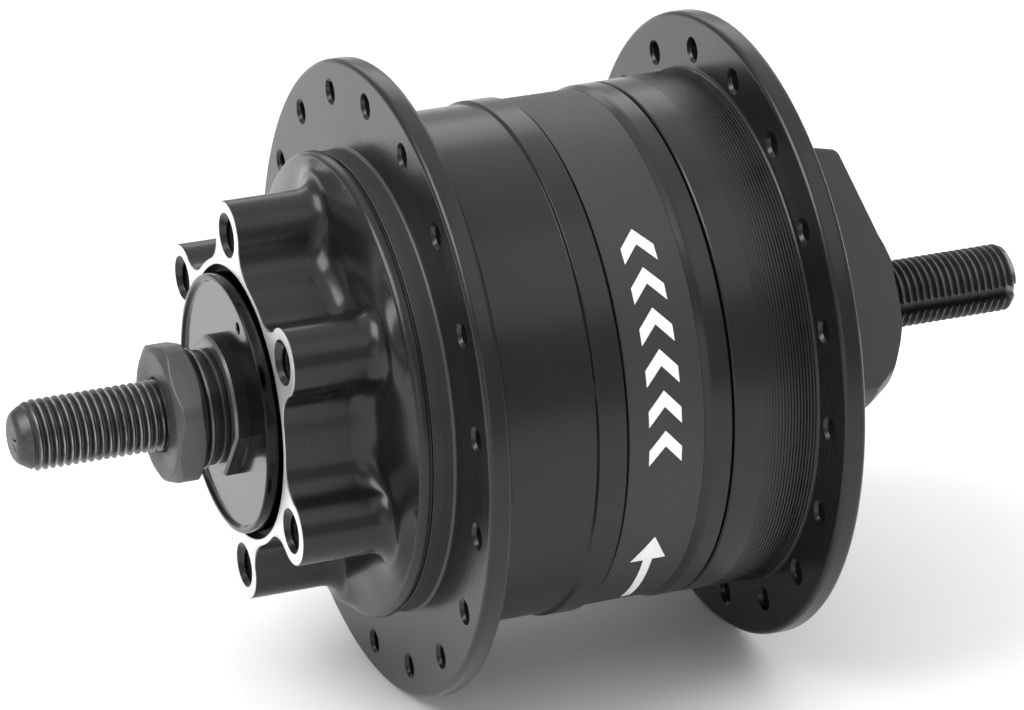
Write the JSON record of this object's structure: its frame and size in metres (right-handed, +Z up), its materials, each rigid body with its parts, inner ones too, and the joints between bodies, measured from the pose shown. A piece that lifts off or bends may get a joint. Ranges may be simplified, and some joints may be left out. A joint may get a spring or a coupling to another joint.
{
  "type": "bicycle hub generator",
  "caption": "Bicycle front hub generator: drilled spoke flanges on a wide black barrel, lobed disc-brake mount, threaded axle with locknut, and a connector cap.",
  "frame": {"origin": "middle of the axle, midway between the two dropout faces", "axes": "+Y along the axle from the disc-brake side to the connector side, +Z up as in the picture; the cap's arm leans back from it by 28 degrees, towards -X"},
  "size_m": [0.0824, 0.138, 0.0824],
  "materials": {
    "shell_black": "satin black anodised, disc face machined bright",
    "label_black": "matte black printed band",
    "axle_steel": "dark phosphated steel, rolled thread",
    "nut_steel": "grey zinc",
    "nut_dark": "dark phosphated steel",
    "cone_steel": "dark hardened steel, oiled",
    "cover_steel": "pressed grey sheet",
    "bearing_steel": "ground and polished",
    "retainer_brass": "pressed brass",
    "seal_rubber": "soft black",
    "cap_black": "satin black",
    "block_plastic": "moulded black",
    "terminal_brass": "plated spring brass",
    "stator_steel": "pressed mild steel",
    "bobbin_plastic": "moulded natural",
    "winding_copper": "enamelled copper wire",
    "magnet_ferrite": "sintered ferrite",
    "lead_sheath": "insulated wire"
  },
  "bodies": {
    "axle_assembly": {"axle": "axle_steel", "left_locknut": "nut_steel", "left_lock_washer": "nut_steel", "left_spacer": "cone_steel", "left_cone": "cone_steel", "left_dust_cover": "cover_steel", "stator_core": "stator_steel", "coil_bobbin": "bobbin_plastic", "coil_winding": "winding_copper", "left_claw_yoke": "stator_steel", "right_claw_yoke": "stator_steel", "left_stator_nut": "nut_steel", "right_stator_nut": "nut_steel", "coil_lead": "lead_sheath", "right_cone": "cone_steel", "right_dust_cover": "cover_steel", "connector_cap": "cap_black", "terminal_block": "block_plastic", "live_terminal": "terminal_brass", "ground_terminal": "terminal_brass", "right_locknut": "nut_dark"},
    "hub_body": {"hub_shell": "shell_black", "right_shell": "shell_black", "label_band": "label_black", "left_bearing_cup": "bearing_steel", "right_bearing_cup": "bearing_steel", "left_seal": "seal_rubber", "right_seal": "seal_rubber", "magnet_yoke_ring": "stator_steel", "magnet_1": "magnet_ferrite", "magnet_2": "magnet_ferrite", "magnet_3": "magnet_ferrite", "magnet_4": "magnet_ferrite"},
    "left_ball_set": {"left_balls": "bearing_steel", "left_ball_retainer": "retainer_brass"},
    "right_ball_set": {"right_balls": "bearing_steel", "right_ball_retainer": "retainer_brass"}
  },
  "joints": [
    {"name": "hub_spin", "type": "hinge", "parent": "axle_assembly", "child": "hub_body", "pos_m": [0, 0, 0], "axis": [0, 1, 0], "continuous": true},
    {"name": "left_ball_orbit", "type": "hinge", "parent": "axle_assembly", "child": "left_ball_set", "pos_m": [0, -0.0323, 0], "axis": [0, 1, 0], "continuous": true},
    {"name": "right_ball_orbit", "type": "hinge", "parent": "axle_assembly", "child": "right_ball_set", "pos_m": [0, 0.031, 0], "axis": [0, 1, 0], "continuous": true}
  ],
  "couplings": [
    {"joint": "left_ball_orbit", "follows": "hub_spin", "ratio": 0.603},
    {"joint": "right_ball_orbit", "follows": "hub_spin", "ratio": 0.564}
  ]
}
